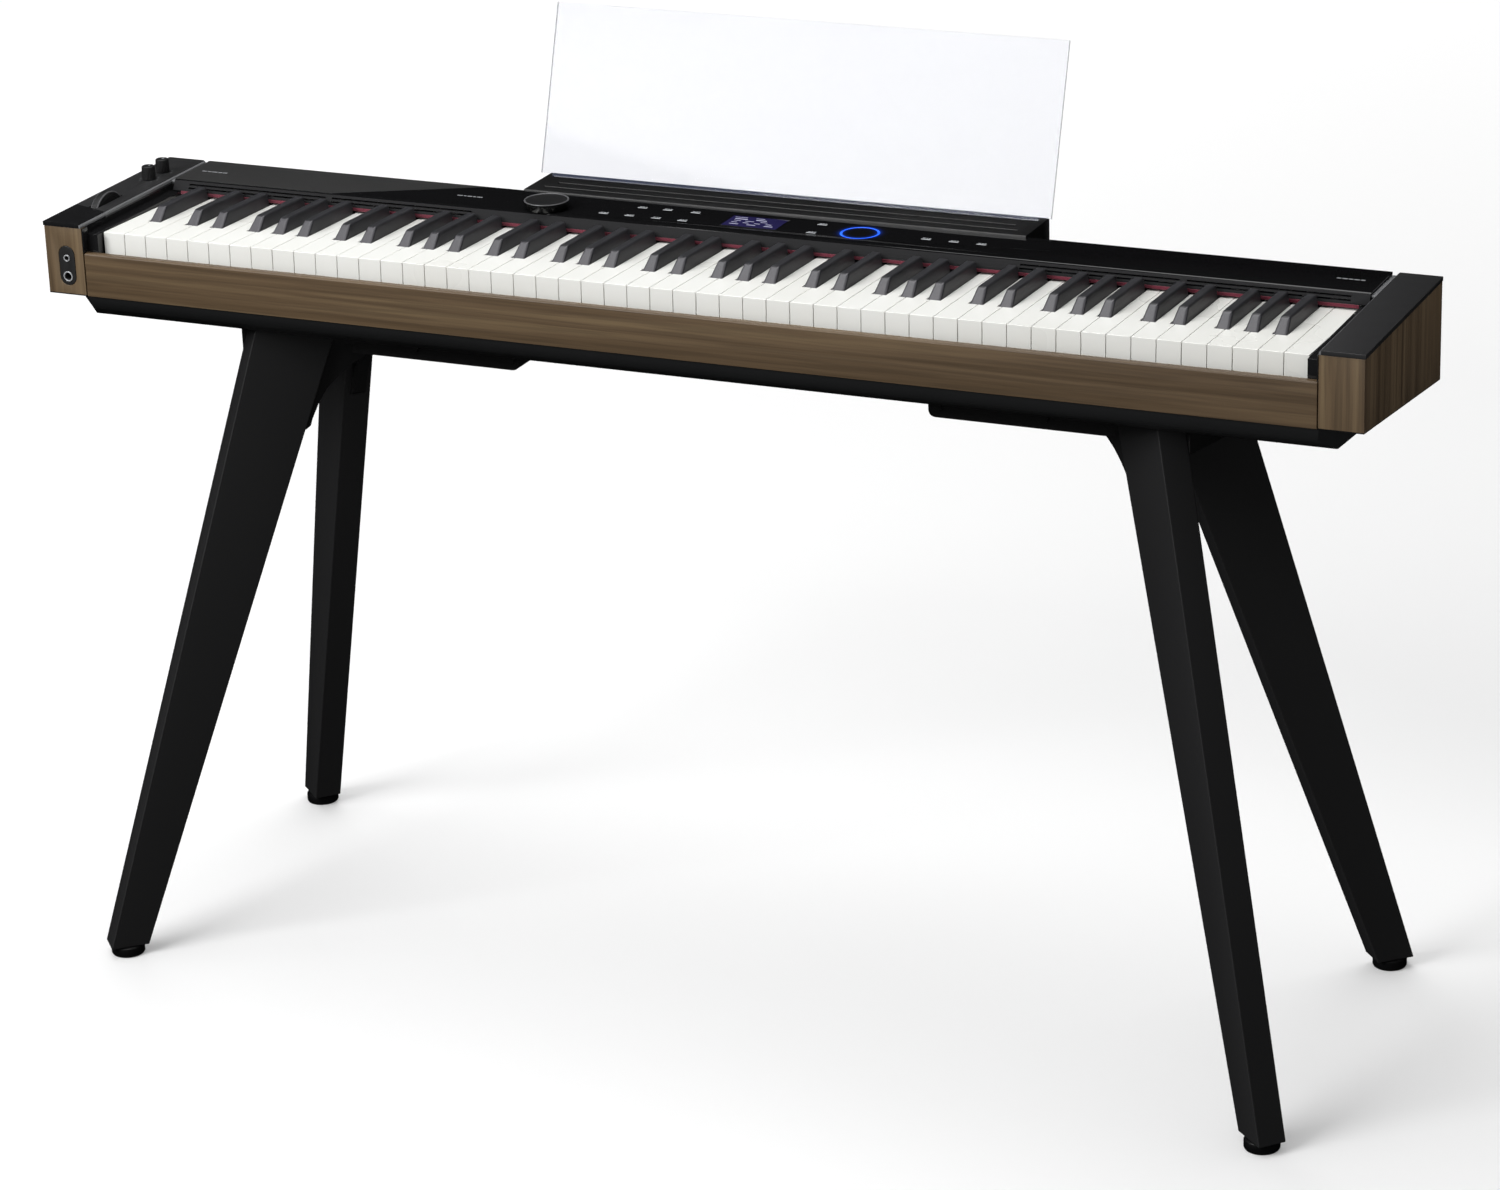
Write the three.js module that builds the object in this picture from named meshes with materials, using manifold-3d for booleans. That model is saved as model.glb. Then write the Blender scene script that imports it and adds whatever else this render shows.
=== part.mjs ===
// Slim 88-key digital piano on its four-legged stand.
// Units are millimetres, +Z is up, +X runs from the bass end to the treble end and the player sits
// on the -Y side. The origin is on the floor, midway between the four feet.

import * as THREE from 'three';
import { mergeVertices } from 'three/addons/utils/BufferGeometryUtils.js';
import Module from 'manifold-3d';

const wasm = await Module();
wasm.setup();

// ---------------------------------------------------------------- driving dimensions

const GAP = 0.3;                 // clearance between touching pieces

// instrument body
const BODY_WIDTH = 1340;
const BODY_DEPTH = 242;
const FRONT_Y = -140;
const REAR_Y = FRONT_Y + BODY_DEPTH;
const TOP_Z = 750;               // playing-height top face
const CHEEK_FRONT_Z = 677;       // underside of the wooden cheek at the front
const CHEEK_REAR_Z = 651;        // and at the rear
const CHEEK_INNER_X = 627.3;
const CAP_THICK = 4.4;
const CAP_LIP = 0.6;             // the cap stands this far proud of the wood
const WOOD_FRONT_Y = FRONT_Y + CAP_LIP;
const NECK_X = 630;              // outer side of the cap's hidden neck
const NECK_Z = 729.7;

// front rail and lower case
const RAIL_THICK = 9;
const RAIL_END_GAP = 1.1;
const RAIL_TOP_Z = 720.5;
const CASE_FLOOR_Z = 650.2;
const CASE_TOP_Z = 676.7;
const CASE_WALL = 3;

// key action
const OCTAVE_WIDTH = 165.2;
const WHITE_WIDTH = OCTAVE_WIDTH / 7;
const WHITE_COUNT = 52;
const KEYBOARD_LEFT = -WHITE_COUNT * WHITE_WIDTH / 2;
const KEY_PIVOT_Y = 61;
const KEY_PIVOT_Z = 718.2;
const KEY_TILT = 1.67;           // degrees, front edge up at rest
const KEY_SIDE_GAP = 0.45;
const WHITE_FRONT = -182.4;      // key lengths and heights are measured from the pivot
const WHITE_TOP = 15;
const WHITE_BOTTOM = 0.3;
const LIP_BOTTOM = -7.5;
const LIP_DEPTH = 6;
const TAIL_START = -131.6;
const WHITE_REAR = 30;
const BLACK_WIDTH = 12.8;
const BLACK_FRONT = -130;
const BLACK_TOP = 27.3;
const BLACK_CAP_REAR = -36.3;
const BLACK_ARM_TOP = 14.6;
const BLACK_REAR = 18;

// top panel and its controls
const PANEL_HALF = 622.5;
const PANEL_FRONT_Y = 33.5;
const PANEL_THICK = 3;
const FASCIA_BOTTOM_Y = 27;
const FASCIA_BOTTOM_Z = 739.8;
const DISPLAY = { x: 0, y: 68.5, width: 60, depth: 35 };
const RING = { x: 109.8, y: 67.4, radius: 19.2, band: 2.2, depth: 1.5 };
const DIAL = { x: -214, y: 51.1, radius: 22.2, waist: 20, height: 9.4, shaft: 3 };
const CONTROL_X = -647;          // pitch wheel and both knobs stand in one row
const WHEEL = { y: -60, radius: 28.9, width: 9, proud: 10 };
const KNOB = { radius: 6.8, height: 14, shaft: 3, front: 23, rear: 50 };

// sockets
const JACK = { x: -646.2, z: 706.5, width: 17.6, height: 39.6, depth: 14 };
const LARGE_JACK_Z = 695.6;
const SMALL_JACK_Z = 714.2;
const PHONE_JACK_R = 3.25;

// music rest and its holder
const HOLDER_HALF = 265;
const HOLDER_REAR_Y = 166;
const HOLDER_Z = 727;
const REST_LEAN = 18.65;         // degrees behind vertical
const REST = { half: 271, thick: 3, length: 183, foot_y: 151.3, foot_z: 741, tab_half: 258, tab: 12.7 };

// stand
const LEG_ANGLE = 42.6;          // degrees between a leg's board and the X axis
const LEG_PLANE = 257.8;         // distance of the board's middle plane from the origin
const LEG_THICK = 28.5;
const LEG_TOP_Z = 649.9;
const LEG_BOTTOM_Z = 11;
const LEG_TOP = { inner: 321, outer: 405.8 };
const LEG_BOTTOM = { inner: 563.3, outer: 602.2 };
const FOOT_RADIUS = 17;
const BEAM = { inner: 214, outer: 400, half: 25.3, bottom: 607, corner: 8 };
const GUSSET_THICK = 14;
const BOLT = { radius: 6, height: 4.5, z: 619.5, places: [223, 329] };
const HUB = { corner: [490, 80], middle: [503, 30], bottom: 618.3 };

// ---------------------------------------------------------------- materials

const finishes = {
  walnut: { color: 0x5f4e38, roughness: 0.5, metalness: 0 },
  gloss_black: { color: 0x151515, roughness: 0.12, metalness: 0 },
  satin_black: { color: 0x262626, roughness: 0.45, metalness: 0 },
  key_white: { color: 0xe6e7e2, roughness: 0.3, metalness: 0 },
  key_black: { color: 0x2b2b2d, roughness: 0.5, metalness: 0 },
  felt: { color: 0x5a0d25, roughness: 0.95, metalness: 0 },
  stand_black: { color: 0x222222, roughness: 0.55, metalness: 0 },
  chassis: { color: 0x3a3c3e, roughness: 0.7, metalness: 0 },
  board_green: { color: 0x1f5a38, roughness: 0.5, metalness: 0 },
  light_blue: { color: 0x2a6cff, roughness: 0.3, metalness: 0 },
  lens: { color: 0x10101c, roughness: 0.08, metalness: 0 },
  rubber: { color: 0x0e0e0e, roughness: 0.9, metalness: 0 },
  acrylic: { color: 0xf2f6fa, roughness: 0.05, metalness: 0 },
};

const materials = Object.fromEntries(
  Object.entries(finishes).map(([name, finish]) => [name, new THREE.MeshStandardMaterial(finish)]),
);

// ---------------------------------------------------------------- shape helpers

// A closed three.js geometry as a solid that can be joined and cut.
function solid(geometry) {
  const bare = geometry.clone();
  bare.deleteAttribute('normal');
  bare.deleteAttribute('uv');
  const merged = mergeVertices(bare, 1e-4);
  return new wasm.Manifold(new wasm.Mesh({
    numProp: 3,
    vertProperties: new Float32Array(merged.attributes.position.array),
    triVerts: new Uint32Array(merged.index.array),
  }));
}

function geometryOf(body) {
  const mesh = body.getMesh();
  const geometry = new THREE.BufferGeometry();
  geometry.setAttribute('position', new THREE.BufferAttribute(new Float32Array(mesh.vertProperties), 3));
  geometry.setIndex(new THREE.BufferAttribute(new Uint32Array(mesh.triVerts), 1));
  geometry.computeVertexNormals();
  return geometry;
}

const join = (...bodies) => bodies.reduce((whole, body) => whole.add(body));

function boxGeometry(x, y, z) {
  const geometry = new THREE.BoxGeometry(x[1] - x[0], y[1] - y[0], z[1] - z[0]);
  return geometry.translate((x[0] + x[1]) / 2, (y[0] + y[1]) / 2, (z[0] + z[1]) / 2);
}

const box = (x, y, z) => solid(boxGeometry(x, y, z));

function outline(points) {
  return new THREE.Shape(points.map(([u, v]) => new THREE.Vector2(u, v)));
}

function extrude(shape, depth, segments = 6) {
  return new THREE.ExtrudeGeometry(shape, { depth, bevelEnabled: false, curveSegments: segments });
}

// An outline in (y, z), extruded from x0 to x1.
function prismX(shape, x0, x1) {
  const turn = new THREE.Matrix4().makeBasis(
    new THREE.Vector3(0, 1, 0), new THREE.Vector3(0, 0, 1), new THREE.Vector3(1, 0, 0));
  return extrude(shape, x1 - x0).applyMatrix4(turn).translate(x0, 0, 0);
}

// An outline in (x, z), extruded from y0 to y1.
function prismY(shape, y0, y1) {
  return extrude(shape, y1 - y0).rotateX(Math.PI / 2).translate(0, y1, 0);
}

// An outline in (x, y), extruded from z0 to z1.
function prismZ(shape, z0, z1) {
  return extrude(shape, z1 - z0).translate(0, 0, z0);
}

// A profile of (radius, z) points turned about the Z axis.
function turned(profile, segments = 32) {
  const points = profile.map(([radius, z]) => new THREE.Vector2(radius, z));
  return new THREE.LatheGeometry(points, segments).rotateX(Math.PI / 2);
}

function disc(radius, z0, z1, segments = 32) {
  return turned([[0, z0], [radius, z0], [radius, z1], [0, z1]], segments);
}

// A round hole or pin along Y.
function rodY(radius, x, z, y0, y1, segments = 16) {
  return solid(disc(radius, 0, y1 - y0, segments).rotateX(-Math.PI / 2).translate(x, y0, z));
}

// A round hole or pin along Z.
function rodZ(radius, x, y, z0, z1, segments = 20) {
  return solid(disc(radius, z0, z1, segments).translate(x, y, 0));
}

// An upright slot outline with round ends, centred on (x, z).
function capsule(x, z, width, height) {
  const r = width / 2;
  const straight = height / 2 - r;
  const shape = new THREE.Shape();
  shape.absarc(x, z + straight, r, 0, Math.PI, false);
  shape.absarc(x, z - straight, r, Math.PI, 2 * Math.PI, false);
  return shape;
}

const piano = new THREE.Group();

function addMesh(name, geometry, finish, parent = piano) {
  const mesh = new THREE.Mesh(geometry, materials[finish].clone());
  mesh.name = name;
  parent.add(mesh);
  return mesh;
}

// ---------------------------------------------------------------- wooden cheeks and front rail

// Side outline of a cheek, grown by a clearance when it is used as a cutter.
function cheekOutline(grow = 0) {
  return outline([
    [WOOD_FRONT_Y - grow, CHEEK_FRONT_Z - grow],
    [WOOD_FRONT_Y - grow, TOP_Z - CAP_THICK + grow],
    [REAR_Y + grow, TOP_Z - CAP_THICK + grow],
    [REAR_Y + grow, CHEEK_REAR_Z - grow],
  ]);
}

function plainCheek(side) {
  const outer = BODY_WIDTH / 2 - CAP_LIP;
  const x = side < 0 ? [-outer, -CHEEK_INNER_X] : [CHEEK_INNER_X, outer];
  const notch_x = side < 0 ? [-NECK_X - GAP, -600] : [600, NECK_X + GAP];
  const notch = box(notch_x, [FRONT_Y + RAIL_THICK, REAR_Y + 5], [NECK_Z - GAP, TOP_Z]);
  return solid(prismX(cheekOutline(), ...x)).subtract(notch);
}

function leftCheek() {
  const wheel_pocket = box([CONTROL_X - 8, CONTROL_X + 8],
    [WHEEL.y - 31, WHEEL.y + 31], [TOP_Z + WHEEL.proud - 2 * WHEEL.radius - 2, TOP_Z]);
  const knob_pocket = box([CONTROL_X - 7, CONTROL_X + 7],
    [KNOB.front - 9, KNOB.rear + 9], [TOP_Z - 20, TOP_Z]);
  const jack_recess = solid(prismY(
    capsule(JACK.x, JACK.z, JACK.width + 2 * GAP, JACK.height + 2 * GAP),
    FRONT_Y - 5, FRONT_Y + JACK.depth + 1));
  return plainCheek(-1).subtract(wheel_pocket).subtract(knob_pocket).subtract(jack_recess);
}

addMesh('left_cheek', geometryOf(leftCheek()), 'walnut');
addMesh('right_cheek', geometryOf(plainCheek(1)), 'walnut');

function frontRail() {
  const edge = 1.2;
  const y = [WOOD_FRONT_Y + 0.3, FRONT_Y + RAIL_THICK - GAP];
  return prismX(outline([
    [y[0], CHEEK_FRONT_Z], [y[0], RAIL_TOP_Z - edge], [y[0] + edge, RAIL_TOP_Z],
    [y[1], RAIL_TOP_Z], [y[1], CHEEK_FRONT_Z],
  ]), -CHEEK_INNER_X + RAIL_END_GAP, CHEEK_INNER_X - RAIL_END_GAP);
}

addMesh('front_rail', frontRail(), 'walnut');

// ---------------------------------------------------------------- lower case

// Cutter for a front corner of the case: an upright prism whose slanting face leans outwards.
function caseCorner(side) {
  const reach = 746;             // width less depth, where the slanting face meets the case's floor
  const lean = 0.7;
  const plan = outline([[side * (reach - 180), -180], [side * 720, 720 - reach], [side * 720, -180]]);
  const shear = new THREE.Matrix4().makeShear(0, 0, 0, 0, side * lean, 0);
  return solid(prismZ(plan, 640, 690).applyMatrix4(shear).translate(-side * lean * CASE_FLOOR_Z, 0, 0));
}

// A tray with sloping front, back and ends. It narrows downwards and is cut back under the cheeks.
function lowerCase() {
  const long_section = outline([
    [-659, CASE_TOP_Z], [-655, 667], [-637, CASE_FLOOR_Z],
    [637, CASE_FLOOR_Z], [655, 667], [659, CASE_TOP_Z],
  ]);
  const cross_section = outline([
    [FRONT_Y + 3, CASE_TOP_Z], [FRONT_Y + 9, 664], [FRONT_Y + 30, CASE_FLOOR_Z],
    [REAR_Y - 14, CASE_FLOOR_Z], [REAR_Y - 1, 662], [REAR_Y - 1, CASE_TOP_Z],
  ]);
  const outer = solid(prismY(long_section, FRONT_Y - 10, REAR_Y + 10))
    .intersect(solid(prismX(cross_section, -670, 670)));
  const cavity = solid(prismX(outline([
    [FRONT_Y + 7, CASE_TOP_Z + 5], [FRONT_Y + 13, 666], [FRONT_Y + 32, CASE_FLOOR_Z + CASE_WALL],
    [REAR_Y - 16, CASE_FLOOR_Z + CASE_WALL], [REAR_Y - 4, 663], [REAR_Y - 4, CASE_TOP_Z + 5],
  ]), -CHEEK_INNER_X + 4, CHEEK_INNER_X - 4));
  const under_cheek = (x) => solid(prismX(cheekOutline(GAP), ...x));
  return outer.subtract(cavity)
    .subtract(caseCorner(-1))
    .subtract(caseCorner(1))
    .subtract(under_cheek([-680, -CHEEK_INNER_X + GAP]))
    .subtract(under_cheek([CHEEK_INNER_X - GAP, 680]));
}

addMesh('lower_case', geometryOf(lowerCase()), 'satin_black');

// ---------------------------------------------------------------- end caps

// Section of the right cap in (x, z): a top plate, a hidden neck and the block beside the last key.
const cap_section = [
  [BODY_WIDTH / 2, TOP_Z - CAP_THICK], [BODY_WIDTH / 2, TOP_Z], [629.5, TOP_Z], [627.5, TOP_Z - 2],
  [627.5, 738], [614.6, 738], [614.6, 678], [627, 678], [627, NECK_Z], [NECK_X, NECK_Z],
  [NECK_X, TOP_Z - CAP_THICK],
];
const cap_plate = [
  [BODY_WIDTH / 2, TOP_Z - CAP_THICK], [BODY_WIDTH / 2, TOP_Z], [629.5, TOP_Z], [627.5, TOP_Z - 2],
  [627.5, TOP_Z - CAP_THICK],
];

function endCap(side) {
  const lift = GAP;
  const place = (points) => outline(points.map(([x, z]) => [side * x, Math.min(z + lift, TOP_Z)]));
  const plate = solid(prismY(place(cap_plate), FRONT_Y, REAR_Y));
  const body = solid(prismY(place(cap_section), FRONT_Y + RAIL_THICK + GAP, REAR_Y - 4));
  const liner_x = side < 0 ? [-627, -625.8] : [625.8, 627];
  const groove_x = side < 0 ? [-628, -PANEL_HALF - GAP] : [PANEL_HALF + GAP, 628];
  const groove_floor = box(groove_x, [PANEL_FRONT_Y, REAR_Y - 4], [737, TOP_Z - 2.6]);
  const liner_z = [RAIL_TOP_Z + 0.5, TOP_Z - CAP_THICK - GAP];
  const liner = box(liner_x, [WOOD_FRONT_Y, FRONT_Y + RAIL_THICK + 1], liner_z);
  return join(plate, body, groove_floor, liner);
}

function leftEndCap() {
  const slot = box([CONTROL_X - 5.5, CONTROL_X + 5.5], [WHEEL.y - 25, WHEEL.y + 25],
    [TOP_Z - 10, TOP_Z + 5]);
  const hole = (y) => rodZ(KNOB.shaft + 0.6, CONTROL_X, y, TOP_Z - 10, TOP_Z + 5);
  return endCap(-1).subtract(slot).subtract(hole(KNOB.front)).subtract(hole(KNOB.rear));
}

addMesh('left_end_cap', geometryOf(leftEndCap()), 'satin_black');
addMesh('right_end_cap', geometryOf(endCap(1)), 'satin_black');

// ---------------------------------------------------------------- top panel

function topPanel() {
  const plate_z = TOP_Z - PANEL_THICK;
  let panel = solid(prismX(outline([
    [PANEL_FRONT_Y - 0.4, TOP_Z - 0.8], [PANEL_FRONT_Y + 0.5, TOP_Z], [REAR_Y - GAP, TOP_Z],
    [REAR_Y - GAP, plate_z], [PANEL_FRONT_Y + 1.8, plate_z], [FASCIA_BOTTOM_Y + 2.5, FASCIA_BOTTOM_Z],
    [FASCIA_BOTTOM_Y, FASCIA_BOTTOM_Z],
  ]), -PANEL_HALF, PANEL_HALF));
  const window = box([DISPLAY.x - DISPLAY.width / 2 - GAP, DISPLAY.x + DISPLAY.width / 2 + GAP],
    [DISPLAY.y - DISPLAY.depth / 2 - GAP, DISPLAY.y + DISPLAY.depth / 2 + GAP], [plate_z - 1, TOP_Z + 1]);
  panel = panel.subtract(window).subtract(rodZ(DIAL.shaft + 0.6, DIAL.x, DIAL.y, plate_z - 1, TOP_Z + 1));
  const groove = turned([
    [RING.radius - RING.band - GAP, TOP_Z - RING.depth], [RING.radius + GAP, TOP_Z - RING.depth],
    [RING.radius + GAP, TOP_Z + 1], [RING.radius - RING.band - GAP, TOP_Z + 1],
    [RING.radius - RING.band - GAP, TOP_Z - RING.depth],
  ], 48).translate(RING.x, RING.y, 0);
  return speakerSlots(panel.subtract(solid(groove)));
}

// Two rows of long speaker slots through the fascia at each end.
function speakerSlots(panel) {
  const slot = { first: 286, length: 156, pitch: 163, height: 1.7, count: 2 };
  let cut = panel;
  for (const side of [-1, 1]) {
    for (let index = 0; index < slot.count; index += 1) {
      const near = slot.first + index * slot.pitch;
      const x = side < 0 ? [-near - slot.length, -near] : [near, near + slot.length];
      for (const z of [741.6, 744.8]) {
        cut = cut.subtract(box(x, [FASCIA_BOTTOM_Y - 5, PANEL_FRONT_Y + 4], [z, z + slot.height]));
      }
    }
  }
  return cut;
}

addMesh('top_panel', geometryOf(topPanel()), 'gloss_black');

addMesh('key_felt', boxGeometry([-613.5, 613.5], [26.6, 30.6], [736, 739.4]), 'felt');

addMesh('display_lens', boxGeometry(
  [DISPLAY.x - DISPLAY.width / 2, DISPLAY.x + DISPLAY.width / 2],
  [DISPLAY.y - DISPLAY.depth / 2, DISPLAY.y + DISPLAY.depth / 2],
  [TOP_Z - PANEL_THICK, TOP_Z]), 'lens');

const ring_inner = RING.radius - RING.band;
const touch_ring = addMesh('touch_ring', turned([
  [ring_inner, TOP_Z - RING.depth + GAP], [RING.radius, TOP_Z - RING.depth + GAP],
  [RING.radius, TOP_Z], [ring_inner, TOP_Z], [ring_inner, TOP_Z - RING.depth + GAP],
], 48), 'light_blue');
touch_ring.position.set(RING.x, RING.y, 0);

// ---------------------------------------------------------------- dial, knobs and pitch wheel

const dial = addMesh('volume_dial', turned([
  [0, -9], [DIAL.shaft, -9], [DIAL.shaft, 0.5], [DIAL.waist, 0.5], [DIAL.waist, 5.6],
  [DIAL.radius, 6], [DIAL.radius, DIAL.height - 0.6], [DIAL.radius - 0.6, DIAL.height], [0, DIAL.height],
], 40), 'gloss_black');
dial.position.set(DIAL.x, DIAL.y, TOP_Z);

function knob(name, y) {
  const mesh = addMesh(name, turned([
    [0, -14], [KNOB.shaft, -14], [KNOB.shaft, 0.5], [KNOB.radius, 0.5],
    [KNOB.radius - 0.5, KNOB.height - 0.7], [KNOB.radius - 1.2, KNOB.height], [0, KNOB.height],
  ], 24), 'satin_black');
  mesh.position.set(CONTROL_X, y, TOP_Z);
}

knob('front_knob', KNOB.front);
knob('rear_knob', KNOB.rear);

// The wheel turns about X and carries a short axle stub on each side.
function pitchWheel() {
  const half = WHEEL.width / 2;
  const hub = half + 2;
  const profile = [
    [0, -hub], [3, -hub], [3, -half], [WHEEL.radius - 1, -half], [WHEEL.radius, -half + 1],
    [WHEEL.radius, half - 1], [WHEEL.radius - 1, half], [3, half], [3, hub], [0, hub],
  ];
  return turned(profile, 40).rotateY(Math.PI / 2);
}

const wheel = addMesh('pitch_wheel', pitchWheel(), 'satin_black');
wheel.position.set(CONTROL_X, WHEEL.y, TOP_Z + WHEEL.proud - WHEEL.radius);

// ---------------------------------------------------------------- sockets

function jackPlate() {
  const face = FRONT_Y + 0.4;
  const plate = solid(prismY(capsule(JACK.x, JACK.z, JACK.width, JACK.height), face, face + JACK.depth));
  const large = rodY(PHONE_JACK_R, JACK.x, LARGE_JACK_Z, face - 1, face + 12);
  const small = rodY(1.85, JACK.x, SMALL_JACK_Z, face - 1, face + 12, 12);
  return plate.subtract(large).subtract(small);
}

addMesh('jack_plate', geometryOf(jackPlate()), 'satin_black');

// Rear wall with a block behind it that holds the sockets.
function rearPanel() {
  const wall_y = REAR_Y - 3.5;
  const mouth = [REAR_Y - 14, REAR_Y + 1];
  const row_z = 700;
  const wall = box([-626.8, 626.8], [wall_y, REAR_Y - GAP], [677.2, TOP_Z - PANEL_THICK - GAP]);
  const block = box([-135, 135], [REAR_Y - 17, wall_y + 1], [688, 712]);
  let panel = join(wall, block);
  for (const x of [-110, -80, -50]) {
    panel = panel.subtract(rodY(PHONE_JACK_R, x, row_z, ...mouth));
  }
  const power_inlet = rodY(4, 110, row_z, ...mouth);
  const usb_host = box([-6.5, 6.5], mouth, [row_z - 3, row_z + 3]);
  const usb_device = box([30, 42], mouth, [row_z - 5.4, row_z + 5.4]);
  return panel.subtract(power_inlet).subtract(usb_host).subtract(usb_device);
}

addMesh('rear_panel', geometryOf(rearPanel()), 'satin_black');

// ---------------------------------------------------------------- music rest

const lean = THREE.MathUtils.degToRad(REST_LEAN);

// A bar behind the panel with two shallow grooves and a leaning slot for the music rest.
function restHolder() {
  const top = TOP_Z + 1;
  const bar = solid(prismX(outline([
    [REAR_Y + GAP, HOLDER_Z], [REAR_Y + GAP, top - 0.8], [REAR_Y + 1.1, top],
    [HOLDER_REAR_Y - 1.5, top], [HOLDER_REAR_Y, top - 1.5], [HOLDER_REAR_Y, HOLDER_Z],
  ]), -HOLDER_HALF, HOLDER_HALF));
  const trough = box([-242, 242], [131, 135], [top - 3.5, top + 1]);
  const groove = box([-250, 250], [117, 119], [top - 2, top + 1]);
  const slot = boxGeometry([-REST.tab_half - GAP, REST.tab_half + GAP],
    [-REST.thick / 2 - GAP, REST.thick / 2 + GAP], [-GAP, REST.length]);
  slot.rotateX(-lean).translate(0, REST.foot_y, REST.foot_z);
  return bar.subtract(trough).subtract(groove).subtract(solid(slot));
}

// A clear sheet with a narrower tab along its lower edge, which stands in the holder's slot.
function restSheet() {
  return prismY(outline([
    [-REST.tab_half, 0], [REST.tab_half, 0], [REST.tab_half, REST.tab], [REST.half, REST.tab],
    [REST.half, REST.length], [-REST.half, REST.length], [-REST.half, REST.tab], [-REST.tab_half, REST.tab],
  ]), -REST.thick / 2, REST.thick / 2);
}

addMesh('music_rest_holder', geometryOf(restHolder()), 'satin_black');

const rest = addMesh('music_rest', restSheet(), 'acrylic');
rest.position.set(0, REST.foot_y, REST.foot_z);
rest.rotation.x = -lean;

// ---------------------------------------------------------------- keys

const NOTE_NAMES = ['c', 'cs', 'd', 'ds', 'e', 'f', 'fs', 'g', 'gs', 'a', 'as', 'b'];
const WHITE_NOTES = [0, 2, 4, 5, 7, 9, 11];
const BLACK_NOTES = [1, 3, 6, 8, 10];
const LOWER_GROUP = 5;           // C to E share three white widths between five semitones
const LOWER_SPAN = 3 * WHITE_WIDTH;

const octaveLeft = (octave) => KEYBOARD_LEFT + 2 * WHITE_WIDTH + (octave - 1) * OCTAVE_WIDTH;

// Where a semitone's share of the rear of the keyboard starts, from the octave's left edge.
function semitoneEdge(note) {
  if (note <= LOWER_GROUP) return note * LOWER_SPAN / LOWER_GROUP;
  const upper = (OCTAVE_WIDTH - LOWER_SPAN) / (NOTE_NAMES.length - LOWER_GROUP);
  return LOWER_SPAN + (note - LOWER_GROUP) * upper;
}

// A white key: a wide head with a front lip, and a tail that passes between the black keys.
function whiteKey(octave, note, wide_left = false, wide_right = false) {
  const left = octaveLeft(octave);
  const head = [
    left + WHITE_NOTES.indexOf(note) * WHITE_WIDTH + KEY_SIDE_GAP,
    left + (WHITE_NOTES.indexOf(note) + 1) * WHITE_WIDTH - KEY_SIDE_GAP,
  ];
  const tail = [
    wide_left ? head[0] : Math.max(left + semitoneEdge(note) + KEY_SIDE_GAP, head[0]),
    wide_right ? head[1] : Math.min(left + semitoneEdge(note + 1) - KEY_SIDE_GAP, head[1]),
  ];
  const plan = [[head[0], WHITE_FRONT], [head[1], WHITE_FRONT], [head[1], TAIL_START]];
  if (tail[1] < head[1]) plan.push([tail[1], TAIL_START]);
  plan.push([tail[1], WHITE_REAR], [tail[0], WHITE_REAR]);
  if (tail[0] > head[0]) plan.push([tail[0], TAIL_START]);
  plan.push([head[0], TAIL_START]);
  const lip = box(head, [WHITE_FRONT, WHITE_FRONT + LIP_DEPTH], [LIP_BOTTOM, WHITE_TOP - 1]);
  return join(solid(prismZ(outline(plan), WHITE_BOTTOM, WHITE_TOP)), lip);
}

const blackCentre = (octave, note) => octaveLeft(octave) + (semitoneEdge(note) + semitoneEdge(note + 1)) / 2;

// A black key: a raised cap with a sloping front, on an arm that runs under the panel.
function blackKey(octave, note) {
  const x = blackCentre(octave, note);
  const side = outline([
    [BLACK_FRONT, 6], [BLACK_FRONT, WHITE_TOP + 0.5], [BLACK_FRONT + 13.5, BLACK_TOP - 0.7],
    [BLACK_FRONT + 16.5, BLACK_TOP], [BLACK_CAP_REAR, BLACK_TOP], [BLACK_CAP_REAR, BLACK_ARM_TOP],
    [BLACK_REAR, BLACK_ARM_TOP], [BLACK_REAR, 0.6], [BLACK_FRONT + 30, 0.6],
  ]);
  return solid(prismX(side, x - BLACK_WIDTH / 2, x + BLACK_WIDTH / 2));
}

const keyboard = new THREE.Group();
keyboard.position.set(0, KEY_PIVOT_Y, KEY_PIVOT_Z);
keyboard.rotation.x = -THREE.MathUtils.degToRad(KEY_TILT);
piano.add(keyboard);

function addWhiteComb(name, keys) {
  const first = octaveLeft(keys[0][0]) + WHITE_NOTES.indexOf(keys[0][1]) * WHITE_WIDTH + KEY_SIDE_GAP;
  const last = first + keys.length * WHITE_WIDTH - 2 * KEY_SIDE_GAP;
  const web = box([first, last], [WHITE_REAR - 9, WHITE_REAR], [WHITE_BOTTOM + 1, WHITE_TOP - 1]);
  addMesh(name, geometryOf(join(web, ...keys.map((key) => whiteKey(...key)))), 'key_white', keyboard);
}

function addBlackComb(name, octave) {
  const reach = BLACK_WIDTH / 2;
  const centres = BLACK_NOTES.map((note) => blackCentre(octave, note));
  const web_y = [-10, 12];
  const web = box([centres[0] - reach, centres[4] + reach], web_y, [16.8, 19.6]);
  const risers = centres.map((x) => box([x - reach, x + reach], web_y, [BLACK_ARM_TOP - 1, 17.5]));
  const keys = BLACK_NOTES.map((note) => blackKey(octave, note));
  addMesh(name, geometryOf(join(web, ...risers, ...keys)), 'key_black', keyboard);
}

function addSingleKey(octave, note, wide) {
  const name = `key_${NOTE_NAMES[note]}${octave}`;
  const black = BLACK_NOTES.includes(note);
  const body = black ? blackKey(octave, note) : whiteKey(octave, note, wide, wide);
  addMesh(name, geometryOf(body), black ? 'key_black' : 'key_white', keyboard);
}

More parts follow.
